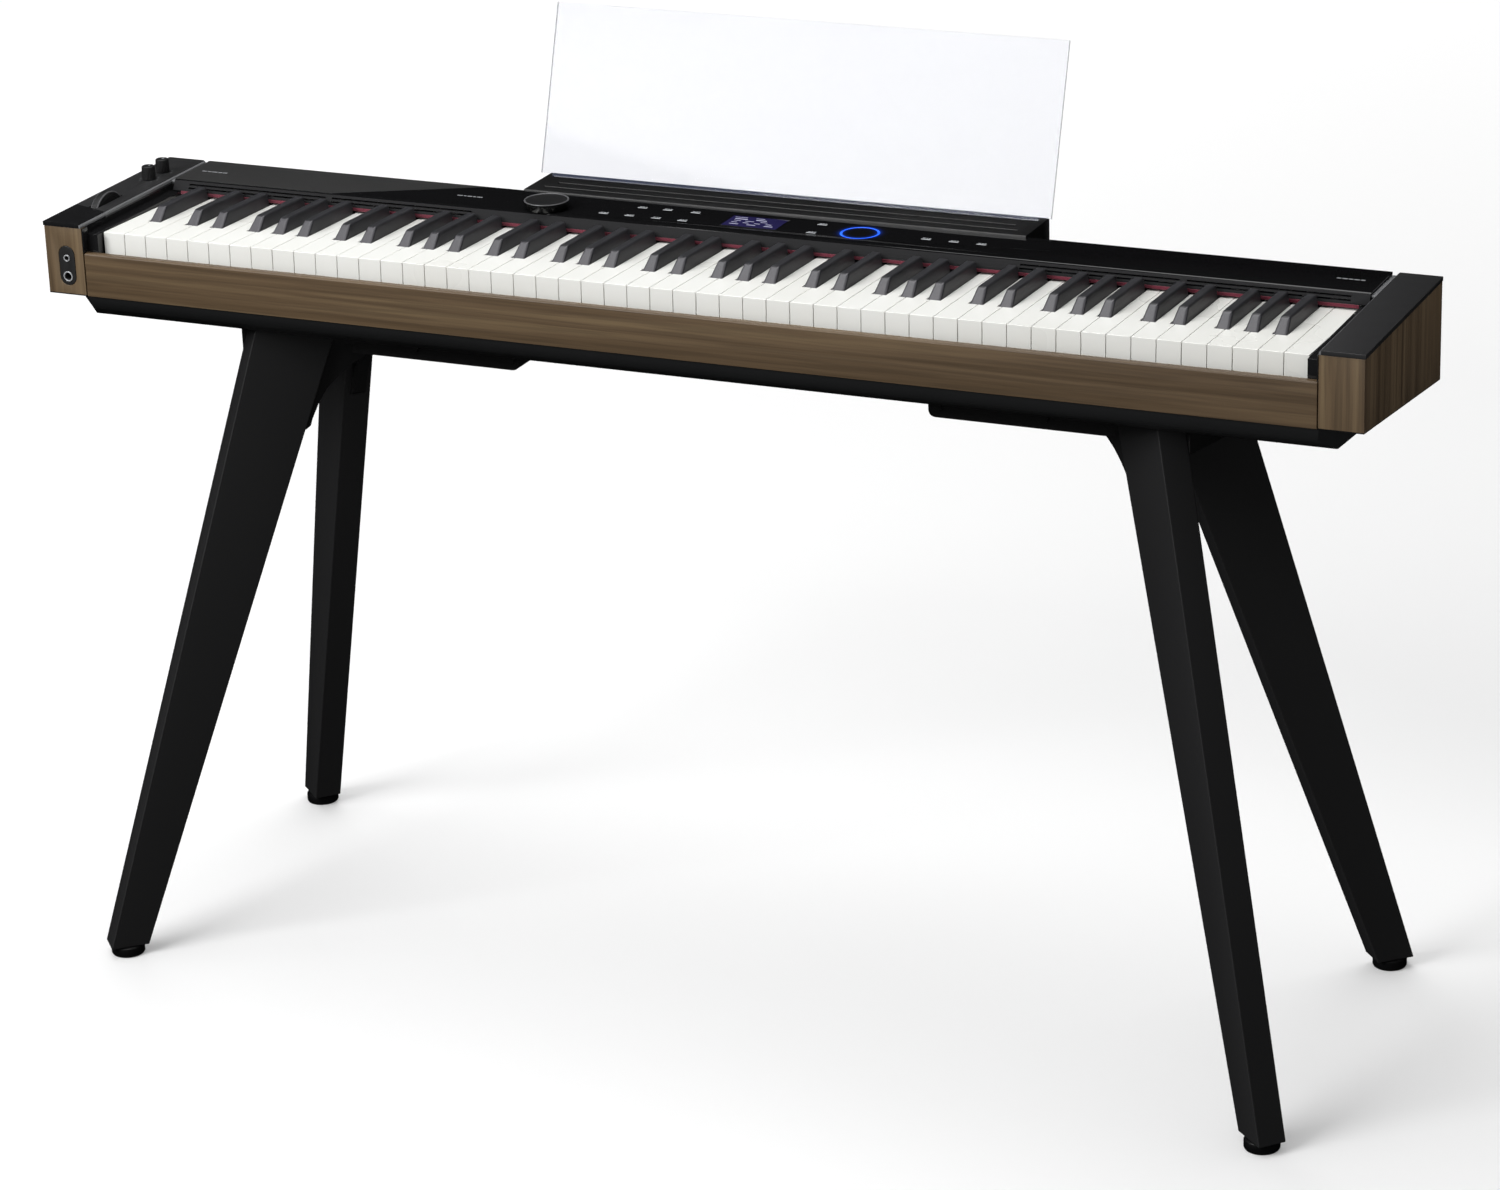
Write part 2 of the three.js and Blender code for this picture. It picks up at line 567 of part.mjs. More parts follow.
addWhiteComb('white_keys_octave_0', [[0, 9, true, false], [0, 11]]);
addSingleKey(0, 10, false);
for (const octave of [1, 2, 3, 5, 6, 7]) {
  addWhiteComb(`white_keys_octave_${octave}`, WHITE_NOTES.map((note) => [octave, note]));
  addBlackComb(`black_keys_octave_${octave}`, octave);
}
for (let note = 0; note < NOTE_NAMES.length; note += 1) {
  addSingleKey(4, note, false);
}
addSingleKey(8, 0, true);

// ---------------------------------------------------------------- key bed

function keyChassis() {
  const plate_z = [656, 659];
  const plate = box([-611, 611], [-102, 86], plate_z);
  const front_stop = box([-611, 611], [-100, -88], [plate_z[1] - 1, 713.4]);
  const rib_y = [-89, 50];
  const ribs = [-611, -304, 0, 301, 608].map((x) => box([x, x + 3], rib_y, [plate_z[1] - 1, 700]));
  return join(plate, front_stop, ...ribs);
}

addMesh('key_chassis', geometryOf(keyChassis()), 'chassis');

const rail_y = KEY_PIVOT_Y;
addMesh('key_fulcrum_rail', prismX(outline([
  [rail_y - 10, 659.3], [rail_y - 10, 663], [rail_y - 2.5, 663], [rail_y - 2.5, KEY_PIVOT_Z - 1],
  [rail_y - 1.5, KEY_PIVOT_Z - 0.3], [rail_y + 1.5, KEY_PIVOT_Z - 0.3], [rail_y + 2.5, KEY_PIVOT_Z - 1],
  [rail_y + 2.5, 663], [rail_y + 10, 663], [rail_y + 10, 659.3],
]), -611, 611), 'chassis');

// ---------------------------------------------------------------- electronics

addMesh('main_circuit_board', boxGeometry([-150, 150], [42, 96], [742, 743.6]), 'board_green');

// A round driver on a flat frame, with its cone opening upwards.
function speaker() {
  const frame = solid(prismZ(outline([[-60, -42], [60, -42], [60, 42], [-60, 42]]), 33, 36));
  const basket = solid(turned([
    [0, 0], [20, 0], [20, 12], [38, 34], [38, 37], [35, 37], [17, 14], [0, 14],
  ], 24));
  const cone_opening = solid(disc(35, 32, 40, 24));
  return join(frame.subtract(cone_opening), basket);
}

for (const [name, x] of [['left_speaker', -457], ['right_speaker', 457]]) {
  addMesh(name, geometryOf(speaker()), 'chassis').position.set(x, -20, 659.4);
}

// ---------------------------------------------------------------- stand

const angle = THREE.MathUtils.degToRad(LEG_ANGLE);

// The middle plane of a leg, whose outline is drawn in (distance along the board, height).
function legFrame(side, end) {
  const along = new THREE.Vector3(side * Math.cos(angle), end * Math.sin(angle), 0);
  const up = new THREE.Vector3(0, 0, 1);
  const across = new THREE.Vector3().crossVectors(along, up);
  const centre = new THREE.Vector3(side * Math.sin(angle), -end * Math.cos(angle), 0);
  centre.multiplyScalar(LEG_PLANE);
  return new THREE.Matrix4().makeBasis(along, up, across).setPosition(centre);
}

const legOutline = (grow = 0) => outline([
  [LEG_TOP.inner - grow, LEG_TOP_Z + grow], [LEG_TOP.outer + grow, LEG_TOP_Z + grow],
  [LEG_BOTTOM.outer + grow, LEG_BOTTOM_Z], [LEG_BOTTOM.inner - grow, LEG_BOTTOM_Z],
]);

function board(shape, thick) {
  return extrude(shape, thick).translate(0, 0, -thick / 2);
}

// Curved bracket in the plane of a leg, from the beam's underside down the leg's inner edge.
// Points are (distance along the leg's board, height). The upper ones lie in the beam and the seat.
const gusset_outline = [
  [284, BEAM.bottom], [297, 602], [310, 596], [324, 586.5], [338, 574], [347, 560.6], [355, 544],
  [357, 537.5], [362, 534], [372, 532], [350, 600], [340, 640], [284, 640],
];

function gusset(side, end) {
  return solid(board(outline(gusset_outline), GUSSET_THICK).applyMatrix4(legFrame(side, end)));
}

function bolt(x) {
  return solid(disc(BOLT.radius, 0, BOLT.height + 1, 16).rotateX(Math.PI / 2)
    .translate(x, -BEAM.half + 1, BOLT.z));
}

// Beam, hub between the two legs, a bracket for each leg and the bolt heads, less the legs' seats.
function standBeam(side) {
  const at = (x) => side * x;
  const section = new THREE.Shape();
  section.moveTo(at(BEAM.inner), LEG_TOP_Z);
  section.lineTo(at(BEAM.inner), BEAM.bottom + BEAM.corner);
  section.quadraticCurveTo(at(BEAM.inner), BEAM.bottom, at(BEAM.inner + BEAM.corner), BEAM.bottom);
  section.lineTo(at(BEAM.outer + 20), BEAM.bottom);
  section.lineTo(at(BEAM.outer + 20), LEG_TOP_Z);
  const beam = solid(prismY(section, -BEAM.half, BEAM.half));
  const hub = solid(prismZ(outline([
    [at(BEAM.outer - 20), -BEAM.half], [at(HUB.corner[0]), -HUB.corner[1]],
    [at(HUB.middle[0]), -HUB.middle[1]], [at(HUB.middle[0]), HUB.middle[1]],
    [at(HUB.corner[0]), HUB.corner[1]], [at(BEAM.outer - 20), BEAM.half],
  ]), HUB.bottom, LEG_TOP_Z));
  let whole = join(beam, hub, gusset(side, -1), gusset(side, 1), ...BOLT.places.map((x) => bolt(at(x))));
  for (const end of [-1, 1]) {
    const seat = board(legOutline(GAP), LEG_THICK + 2 * GAP).applyMatrix4(legFrame(side, end));
    whole = whole.subtract(solid(seat));
  }
  return whole;
}

const foot_profile = [
  [0, 0], [FOOT_RADIUS - 2, 0], [FOOT_RADIUS, 2], [FOOT_RADIUS, 8.5], [FOOT_RADIUS - 2, LEG_BOTTOM_Z - GAP],
  [0, LEG_BOTTOM_Z - GAP],
];

for (const [side_name, side] of [['left', -1], ['right', 1]]) {
  addMesh(`${side_name}_stand_beam`, geometryOf(standBeam(side)), 'stand_black');
  for (const [end_name, end] of [['front', -1], ['rear', 1]]) {
    const place = legFrame(side, end);
    const leg = addMesh(`${end_name}_${side_name}_leg`, board(legOutline(), LEG_THICK), 'stand_black');
    leg.applyMatrix4(place);
    const sole = new THREE.Vector3((LEG_BOTTOM.inner + LEG_BOTTOM.outer) / 2, 0, 0).applyMatrix4(place);
    addMesh(`${end_name}_${side_name}_foot`, turned(foot_profile, 28), 'rubber').position.copy(sole);
  }
}

export default piano;
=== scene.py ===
"""Digital piano on its four-legged stand: finishes, fine shapes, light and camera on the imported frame."""
import math

import bmesh
import bpy
from mathutils import Matrix, Vector


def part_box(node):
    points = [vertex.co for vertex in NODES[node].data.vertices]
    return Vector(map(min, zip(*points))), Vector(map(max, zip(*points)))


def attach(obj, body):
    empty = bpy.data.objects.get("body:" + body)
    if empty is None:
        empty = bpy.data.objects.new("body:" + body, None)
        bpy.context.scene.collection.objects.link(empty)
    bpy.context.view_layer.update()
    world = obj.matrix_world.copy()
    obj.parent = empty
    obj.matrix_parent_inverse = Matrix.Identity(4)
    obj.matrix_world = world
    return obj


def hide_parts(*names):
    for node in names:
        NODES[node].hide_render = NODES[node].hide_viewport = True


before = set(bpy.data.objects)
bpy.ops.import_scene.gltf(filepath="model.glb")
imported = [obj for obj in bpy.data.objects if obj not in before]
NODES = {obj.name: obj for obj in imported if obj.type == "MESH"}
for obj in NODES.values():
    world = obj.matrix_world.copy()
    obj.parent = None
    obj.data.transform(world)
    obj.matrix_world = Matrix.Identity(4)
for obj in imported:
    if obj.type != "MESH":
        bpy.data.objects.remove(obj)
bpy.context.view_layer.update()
MM = 0.001

# ---------------------------------------------------------------- colour and material helpers


def srgb(text):
    """A hex colour as linear RGBA."""
    parts = [int(text[i:i + 2], 16) / 255 for i in (0, 2, 4)]
    linear = [c / 12.92 if c <= 0.04045 else ((c + 0.055) / 1.055) ** 2.4 for c in parts]
    return (*linear, 1.0)


class Look:
    """A Principled material, with short calls for the nodes that give it its detail."""

    def __init__(self, name, color, roughness, **values):
        self.mat = bpy.data.materials.new(name)
        self.mat.use_nodes = True
        self.tree = self.mat.node_tree
        self.shader = self.tree.nodes["Principled BSDF"]
        self.shader.inputs["Base Color"].default_value = srgb(color)
        self.shader.inputs["Roughness"].default_value = roughness
        for key, value in values.items():
            self.shader.inputs[key.replace("_", " ")].default_value = value
        self.place = self.node("ShaderNodeTexCoord").outputs["Object"]

    def node(self, kind, **settings):
        made = self.tree.nodes.new(kind)
        for key, value in settings.items():
            setattr(made, key, value)
        return made

    def wire(self, source, target):
        self.tree.links.new(source, target)

    def feed(self, value, socket):
        """A hex colour or a number goes on the socket itself, and an output is wired to it."""
        if isinstance(value, str):
            socket.default_value = srgb(value)
        elif isinstance(value, (int, float)):
            socket.default_value = value
        elif value is not None:
            self.wire(value, socket)

    def stretched(self, scale):
        """Object coordinates times a scale for each axis."""
        made = self.node("ShaderNodeMapping")
        made.inputs["Scale"].default_value = scale
        self.wire(self.place, made.inputs["Vector"])
        return made.outputs["Vector"]

    def noise(self, scale, detail=3.0, rough=0.5, vector=None, distort=0.0):
        made = self.node("ShaderNodeTexNoise")
        made.inputs["Scale"].default_value = scale
        made.inputs["Detail"].default_value = detail
        made.inputs["Roughness"].default_value = rough
        made.inputs["Distortion"].default_value = distort
        self.wire(self.place if vector is None else vector, made.inputs["Vector"])
        return made.outputs["Fac"]

    def ramp(self, fac, stops):
        """A colour ramp from (place, value) stops, where a value is a hex colour or a grey level."""
        made = self.node("ShaderNodeValToRGB")
        band = made.color_ramp
        while len(band.elements) < len(stops):
            band.elements.new(0.5)
        for element, (place, color) in zip(band.elements, stops):
            element.position = place
            element.color = srgb(color) if isinstance(color, str) else (color, color, color, 1)
        self.wire(fac, made.inputs["Fac"])
        return made.outputs["Color"]

    def math(self, operation, a, b=None):
        made = self.node("ShaderNodeMath", operation=operation)
        self.feed(a, made.inputs[0])
        self.feed(b, made.inputs[1])
        return made.outputs["Value"]

    def near(self, value, half, centre=0.0):
        """1 where the value is less than half away from the centre, and 0 elsewhere."""
        return self.math("LESS_THAN", self.math("ABSOLUTE", self.math("SUBTRACT", value, centre)), half)

    def mix(self, fac, a, b, kind="MIX"):
        made = self.node("ShaderNodeMix", data_type="RGBA", blend_type=kind)
        for place, value in ((0, fac), (6, a), (7, b)):  # the factor and the two colours
            self.feed(value, made.inputs[place])
        return made.outputs[2]

    def color(self, source):
        self.wire(source, self.shader.inputs["Base Color"])

    def roughness(self, fac, low, high):
        self.wire(self.ramp(fac, [(0.3, low), (0.7, high)]), self.shader.inputs["Roughness"])

    def bump(self, height, distance, strength=1.0):
        made = self.node("ShaderNodeBump")
        made.inputs["Strength"].default_value = strength
        made.inputs["Distance"].default_value = distance
        self.wire(height, made.inputs["Height"])
        self.wire(made.outputs["Normal"], self.shader.inputs["Normal"])

    def axes(self):
        made = self.node("ShaderNodeSeparateXYZ")
        self.wire(self.place, made.inputs["Vector"])
        return made.outputs


# ---------------------------------------------------------------- finishes

# Where the looks change, in metres.
TRIM_SLOPE, TRIM_TOP, TRIM_REAR = 0.1077, 0.66319, 0.1009  # the cheeks' black trim
SATIN_EDGE, SATIN_SLOPE = (-0.4388, 0.036), 2.0625  # a point on the satin area's slanting edge
PANEL_FLAT, FASCIA_TOP = 0.7498, 0.7488
RING_CENTRE, RING_RADIUS = (0.1098, 0.0674), 0.0181
CAP_LINE_X, CAP_LINE_SLOPE, CAP_LINE_Y = 0.67, 0.35, -0.078  # the caps are glossier in front of this line
BLOCK_TOP = 0.744
# the band along the caps' inner edge that is painted pale grey as a painted highlight
CAP_HIGHLIGHT_LOW, CAP_HIGHLIGHT_HIGH, CAP_HIGHLIGHT_REACH = 0.7458, 0.7493, 0.6293
SCREEN_Y, SCREEN_HALF = 0.0685, (0.0285, 0.0162)
NATURAL = 2.718


def walnut(name, grain, tones, contrast=1.0):
    """Oiled walnut veneer. grain is the axis that the figure runs along, tones run from dark to light.

    Upright grain is for the cheeks, which have a thin black trim along their lower and rear edges.
    """
    look = Look(name, tones[1], 0.5)

    def grained(across, along):
        scale = [across] * 3
        scale["XYZ".index(grain)] = along
        return look.stretched(scale)

    figure = look.noise(1.0, 6.0, 0.62, grained(85.0, 1.6), 0.6)
    broad = look.noise(1.0, 2.0, 0.5, grained(9.0, 0.7), 0.8)
    fine = look.noise(1.0, 2.0, 0.5, grained(420.0, 9.0))
    blend = look.math("ADD", look.math("MULTIPLY", figure, 0.55), look.math("MULTIPLY", broad, 0.45))
    places = (0.5 - 0.14 * contrast, 0.5, 0.5 + 0.13 * contrast)
    base = look.ramp(blend, list(zip(places, tones)))
    pores = look.ramp(fine, [(0.40, 0.62), (0.56, 1.0)])
    wood = look.mix(0.45, base, pores, "MULTIPLY")
    if grain == "Z":
        axes = look.axes()
        above = look.math("ADD", axes["Z"], look.math("MULTIPLY", axes["Y"], TRIM_SLOPE))
        trim = look.math("MAXIMUM", look.math("LESS_THAN", above, TRIM_TOP),
                         look.math("GREATER_THAN", axes["Y"], TRIM_REAR))
        wood = look.mix(trim, wood, "101010")
    look.color(wood)
    look.roughness(figure, 0.42, 0.58)
    look.bump(fine, 0.00012, 0.35)
    return look.mat


def plastic(name, color, rough, spread=0.06, grain=0.00004, size=2600.0):
    """Moulded plastic: a fine even texture and slight changes in gloss."""
    look = Look(name, color, rough)
    cloud = look.noise(14.0, 3.0, 0.55)
    look.roughness(cloud, rough - spread, rough + spread)
    look.color(look.mix(look.ramp(cloud, [(0.35, 0.0), (0.7, 0.18)]), color, "000000"))
    look.bump(look.noise(size, 2.0, 0.6), grain, 0.5)
    return look.mat


def panel_finish():
    """Gloss to the right of a slanting line, satin to its left, a matt front and a glow round the ring."""
    look = Look("panel_gloss", "101010", 0.1)
    axes = look.axes()
    slant = look.math("SUBTRACT", look.math("SUBTRACT", axes["X"], SATIN_EDGE[0]),
                      look.math("MULTIPLY", look.math("SUBTRACT", axes["Y"], SATIN_EDGE[1]), SATIN_SLOPE))
    satin = look.math("LESS_THAN", slant, 0.0)
    flat = look.math("GREATER_THAN", axes["Z"], PANEL_FLAT)
    satin = look.math("MULTIPLY", satin, flat)
    fascia = look.math("LESS_THAN", axes["Z"], FASCIA_TOP)
    cloud = look.noise(11.0, 3.0, 0.6)
    satin_rough = look.ramp(cloud, [(0.3, 0.4), (0.7, 0.46)])
    gloss_rough = look.ramp(cloud, [(0.3, 0.05), (0.7, 0.09)])
    rough = look.mix(satin, gloss_rough, satin_rough)
    look.wire(look.mix(fascia, rough, "bcbcbc"), look.shader.inputs["Roughness"])
    look.wire(look.mix(fascia, "bcbcbc", "202020"), look.shader.inputs["Specular IOR Level"])
    tone = look.mix(satin, "111112", "2b2b2b")
    look.color(look.mix(fascia, tone, "2a2a2b"))
    grain = look.noise(2400.0, 2.0, 0.6)
    matt = look.math("MAXIMUM", satin, fascia)
    look.bump(look.math("MULTIPLY", grain, matt), 0.00005, 0.5)
    dx = look.math("SUBTRACT", axes["X"], RING_CENTRE[0])
    dy = look.math("SUBTRACT", axes["Y"], RING_CENTRE[1])
    far = look.math("SQRT", look.math("ADD", look.math("MULTIPLY", dx, dx), look.math("MULTIPLY", dy, dy)))
    off = look.math("ABSOLUTE", look.math("SUBTRACT", far, RING_RADIUS))
    glow = look.math("POWER", NATURAL, look.math("MULTIPLY", off, -700.0))
    look.shader.inputs["Emission Color"].default_value = (0.02, 0.12, 1.0, 1)
    look.wire(look.math("MULTIPLY", glow, 0.5), look.shader.inputs["Emission Strength"])
    return look.mat


def cap_finish():
    """Satin caps: glossier before the controls' plate and on the front blocks, with a painted highlight along
    the inner edge.
    """
    look = Look("cap_black", "2a2a2b", 0.32)
    axes = look.axes()
    cloud = look.noise(14.0, 3.0, 0.55)
    across = look.math("MULTIPLY", look.math("ADD", axes["X"], CAP_LINE_X), CAP_LINE_SLOPE)
    line = look.math("ADD", axes["Y"], across)
    ahead = look.math("MULTIPLY", look.math("LESS_THAN", line, CAP_LINE_Y),
                      look.math("LESS_THAN", axes["X"], 0.0))
    block = look.math("LESS_THAN", axes["Z"], BLOCK_TOP)
    gloss = look.math("MAXIMUM", ahead, block)
    satin = look.ramp(cloud, [(0.3, 0.3), (0.7, 0.38)])
    look.wire(look.mix(gloss, satin, "2b2b2b"), look.shader.inputs["Roughness"])
    # a pale grey band along the inner chamfer: a painted highlight, not the cap's own colour
    below = look.math("LESS_THAN", axes["Z"], CAP_HIGHLIGHT_HIGH)
    above = look.math("GREATER_THAN", axes["Z"], CAP_HIGHLIGHT_LOW)
    edge = look.math("MULTIPLY", look.math("MULTIPLY", below, above), look.near(axes["X"], CAP_HIGHLIGHT_REACH))
    tone = look.mix(gloss, "2c2c2d", "1b1b1c")
    tone = look.mix(look.ramp(cloud, [(0.35, 0.0), (0.7, 0.15)]), tone, "000000")
    # 707173 is the painted highlight on the inner edge
    look.color(look.mix(edge, tone, "707173"))
    look.bump(look.noise(2600.0, 2.0, 0.6), 0.00003, 0.5)
    return look.mat


def holder_finish():
    """Dark satin plastic with a lighter rear rim."""
    look = Look("holder_black", "161617", 0.4)
    cloud = look.noise(14.0, 3.0, 0.55)
    rim = look.ramp(look.axes()["Y"], [(0.1530, "161617"), (0.1545, "2b2b2c")])
    look.color(look.mix(look.ramp(cloud, [(0.35, 0.0), (0.7, 0.15)]), rim, "000000"))
    look.roughness(cloud, 0.34, 0.46)
    look.bump(look.noise(2600.0, 2.0, 0.6), 0.00004, 0.5)
    return look.mat


def key_white_finish():
    """Coated ivory white, with a painted warm reflection of the walnut rail along the lower edge of the
    fronts.
    """
    look = Look("key_ivory_white", "e9eae6", 0.28)
    look.shader.inputs["Coat Weight"].default_value = 0.25
    look.shader.inputs["Coat Roughness"].default_value = 0.12
    cloud = look.noise(9.0, 3.0, 0.5)
    fine = look.noise(1400.0, 2.0, 0.5)
    # painted reflection: the cream band low on the fronts stands in for light bounced from the walnut rail
    painted_wood_reflection = look.ramp(look.axes()["Z"], [(0.7120, "e6dcc6"), (0.7170, "e8e8e3")])
    look.color(look.mix(look.ramp(cloud, [(0.35, 0.0), (0.65, 0.5)]), painted_wood_reflection, "eeefec"))
    look.roughness(cloud, 0.26, 0.32)
    look.bump(fine, 0.00001, 0.2)
    return look.mat


def key_black_finish(name, dark, light):
    """Ebony-like black with a fine lengthwise grain."""
    look = Look(name, dark, 0.42)
    streak = look.noise(1.0, 5.0, 0.65, look.stretched((1500.0, 45.0, 900.0)))
    look.color(look.ramp(streak, [(0.32, dark), (0.68, light)]))
    look.roughness(streak, 0.34, 0.5)
    look.bump(streak, 0.00006, 0.5)
    return look.mat


def felt_finish():
    look = Look("key_felt_red", "5a0d25", 0.95)
    look.shader.inputs["Sheen Weight"].default_value = 0.5
    fuzz = look.noise(900.0, 5.0, 0.75)
    look.color(look.ramp(fuzz, [(0.3, "480a1d"), (0.7, "7a1431")]))
    look.bump(fuzz, 0.0004, 0.7)
    return look.mat


def stand_finish(name, color, rough=0.5):
    """Board covered with matt black foil: faint cloudiness, a fine emboss and slightly worn gloss."""
    look = Look(name, color, rough)
    cloud = look.noise(5.0, 4.0, 0.6)
    emboss = look.noise(1.0, 3.0, 0.6, look.stretched((900.0, 900.0, 120.0)))
    look.color(look.mix(look.ramp(cloud, [(0.3, 0.0), (0.75, 0.22)]), color, "0b0b0b"))
    look.roughness(cloud, rough - 0.05, rough + 0.07)
    look.bump(emboss, 0.00005, 0.4)
    return look.mat


def metal(name, color, rough):
    look = Look(name, color, rough, Metallic=0.55)
    brushed = look.noise(1.0, 3.0, 0.5, look.stretched((1800.0, 200.0, 1800.0)))
    look.roughness(brushed, rough - 0.06, rough + 0.08)
    look.color(look.ramp(brushed, [(0.3, color), (0.7, "e6e8ea")]))
    look.bump(brushed, 0.00001, 0.3)
    return look.mat


def board_finish():
    """Green solder mask over copper tracks."""
    look = Look("circuit_board", "1f5a38", 0.4)
    cells = look.node("ShaderNodeTexVoronoi", distance="MANHATTAN", feature="F1")
    cells.inputs["Scale"].default_value = 160.0
    look.wire(look.place, cells.inputs["Vector"])
    look.color(look.ramp(cells.outputs["Distance"], [(0.2, "123d24"), (0.32, "2d7a4b")]))
    look.roughness(cells.outputs["Distance"], 0.3, 0.5)
    look.bump(cells.outputs["Distance"], 0.0001, 0.4)
    return look.mat


def lens_finish():
    """Display glass: indigo where the screen is lit, black round it."""
    look = Look("display_glass", "0b0b14", 0.06)
    axes = look.axes()
    cloud = look.noise(30.0, 2.0, 0.5)
    inside = look.math("MULTIPLY", look.near(axes["X"], SCREEN_HALF[0]),
                       look.near(axes["Y"], SCREEN_HALF[1], SCREEN_Y))
    look.roughness(cloud, 0.04, 0.08)
    look.color(look.mix(inside, "0c0c10", "17152e"))
    look.shader.inputs["Emission Color"].default_value = srgb("3a3570")
    lit = look.math("MULTIPLY", inside, look.math("ADD", look.math("MULTIPLY", cloud, 0.1), 0.2))
    look.wire(lit, look.shader.inputs["Emission Strength"])
    return look.mat


def ring_finish():
    look = Look("ring_light", "2a6cff", 0.25)
    pulse = look.noise(60.0, 2.0, 0.5)
    look.color(look.ramp(pulse, [(0.3, "0c3cc8"), (0.7, "2058f0")]))
    look.wire(look.ramp(pulse, [(0.2, "1c50f0"), (0.8, "4080ff")]), look.shader.inputs["Emission Color"])
    look.shader.inputs["Emission Strength"].default_value = 0.9
    return look.mat


def clear_finish(name, alpha, color):
    """Clear acrylic: alpha is how much of it shows."""
    look = Look(name, color, 0.03, IOR=1.49)
    dust = look.noise(40.0, 4.0, 0.6)
    look.shader.inputs["Alpha"].default_value = alpha
    look.roughness(dust, 0.02, 0.05)
    look.color(look.mix(look.ramp(dust, [(0.3, 0.0), (0.7, 0.12)]), color, "f6f8fb"))
    return look.mat


FINISH = {
    "rail": walnut("walnut_rail", "X", ("463623", "5f4c35", "786445"), 1.25),
    "cheek": walnut("walnut_cheek", "Z", ("493a2a", "67543c", "826f50"), 1.15),
    "panel": panel_finish(),
    "dial": plastic("dial_gloss", "0c0c0c", 0.16, 0.03),
    "dial_top": plastic("dial_satin", "1b1b1c", 0.4),
    "satin": plastic("satin_black", "262626", 0.36),
    "cap": cap_finish(),
    "case": plastic("case_black", "222324", 0.48),
    "holder": holder_finish(),
    "knob": plastic("knob_black", "1a1a1b", 0.42),
    # a pale grey painted highlight for the bright rim edges of the dial and the pitch wheel
    "rim": plastic("rim_painted_highlight", "5a5a5c", 0.35),
    "white": key_white_finish(),
    "black": key_black_finish("key_ebony_black", "242426", "343438"),
    # the same ebony black painted lighter, as a painted highlight on the keys' sloping fronts
    "black_lit_front": key_black_finish("key_ebony_painted_lit_front", "454448", "525155"),
    "felt": felt_finish(),
    "stand": stand_finish("stand_black", "212122"),
    # the legs' black foil painted darker on the beams, as painted shade under the keyboard
    "beam": stand_finish("beam_painted_shade_black", "171718", 0.55),
    "rubber": plastic("foot_rubber", "0d0d0e", 0.35, 0.08, 0.0001, 900.0),
    "chassis": plastic("chassis_grey", "3a3c3e", 0.6),
    "board": board_finish(),
    "lens": lens_finish(),
    "ring": ring_finish(),
    "clear": clear_finish("rest_clear", 0.105, "5c6a98"),
    "clear_edge": clear_finish("rest_edge", 0.6, "8d929c"),
    "silver": metal("socket_silver", "c4c7cb", 0.35),
    "mark": plastic("panel_mark", "c9ccd0", 0.5),
    "mark_dim": plastic("printed_grey", "8a8c8f", 0.5),
    "lit_bar": plastic("display_bar", "b4b4cc", 0.5),
}

# ---------------------------------------------------------------- geometry helpers

SHARP = 35  # degrees between two faces that makes the edge between them a real one


def paint(obj, *names):
    obj.data.materials.clear()
    for name in names:
        obj.data.materials.append(FINISH[name])


def soften(obj, width):
    """Rounds a piece's real edges and keeps its flat faces flat. The width is in millimetres."""
    weld = obj.modifiers.new("weld", "WELD")
    weld.merge_threshold = 0.00001
    flat = obj.modifiers.new("flat", "DECIMATE")
    flat.decimate_type = "DISSOLVE"
    flat.angle_limit = math.radians(0.5)
    bevel = obj.modifiers.new("bevel", "BEVEL")
    bevel.width = width * MM
    bevel.segments = 3
    bevel.limit_method = "ANGLE"
    bevel.angle_limit = math.radians(SHARP)
    bevel.use_clamp_overlap = True
    bevel.harden_normals = True
    for face in obj.data.polygons:
        face.use_smooth = True


def add_piece(name, vertices, faces, finish, body, smooth=False):
    """A new mesh piece, given in millimetres, that rides on a body."""
    mesh = bpy.data.meshes.new(name)
    mesh.from_pydata([Vector(v) * MM for v in vertices], [], faces)
    mesh.validate()
    obj = bpy.data.objects.new(name, mesh)
    bpy.context.scene.collection.objects.link(obj)
    mesh.materials.append(FINISH[finish])
    for face in mesh.polygons:
        face.use_smooth = smooth
    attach(obj, body)
    return obj


def smooth_by_angle(obj, degrees):
    """Shades smooth, with the edges sharper than this kept sharp."""
    obj.data.shade_smooth()
    mesh = bmesh.new()
    mesh.from_mesh(obj.data)
    for edge in mesh.edges:
        if len(edge.link_faces) == 2 and edge.calc_face_angle() > math.radians(degrees):
            edge.smooth = False
    mesh.to_mesh(obj.data)
    mesh.free()


def lathe(name, profile, finish, body, centre, segments=96, turned=False):
    """A profile of (radius, height) points turned about Z, or about Y with its heights towards the front."""
    vertices, faces, rings = [], [], []
    for radius, height in profile:
        if radius == 0:
            rings.append([len(vertices)])
            vertices.append((0, 0, height))
            continue
        rings.append(list(range(len(vertices), len(vertices) + segments)))
        for step in range(segments):
            turn = 2 * math.pi * step / segments
            vertices.append((radius * math.cos(turn), radius * math.sin(turn), height))
    for low, high in zip(rings, rings[1:]):
        for step in range(segments):
            after = (step + 1) % segments
            if len(low) == 1:
                faces.append((low[0], high[after], high[step]))
            elif len(high) == 1:
                faces.append((low[step], low[after], high[0]))
            else:
                faces.append((low[step], low[after], high[after], high[step]))
    tip = Matrix.Rotation(math.pi / 2 if turned else 0, 3, "X")
    placed = [tip @ Vector(v) + Vector(centre) for v in vertices]
    obj = add_piece(name, placed, faces, finish, body)
    smooth_by_angle(obj, SHARP)
    return obj


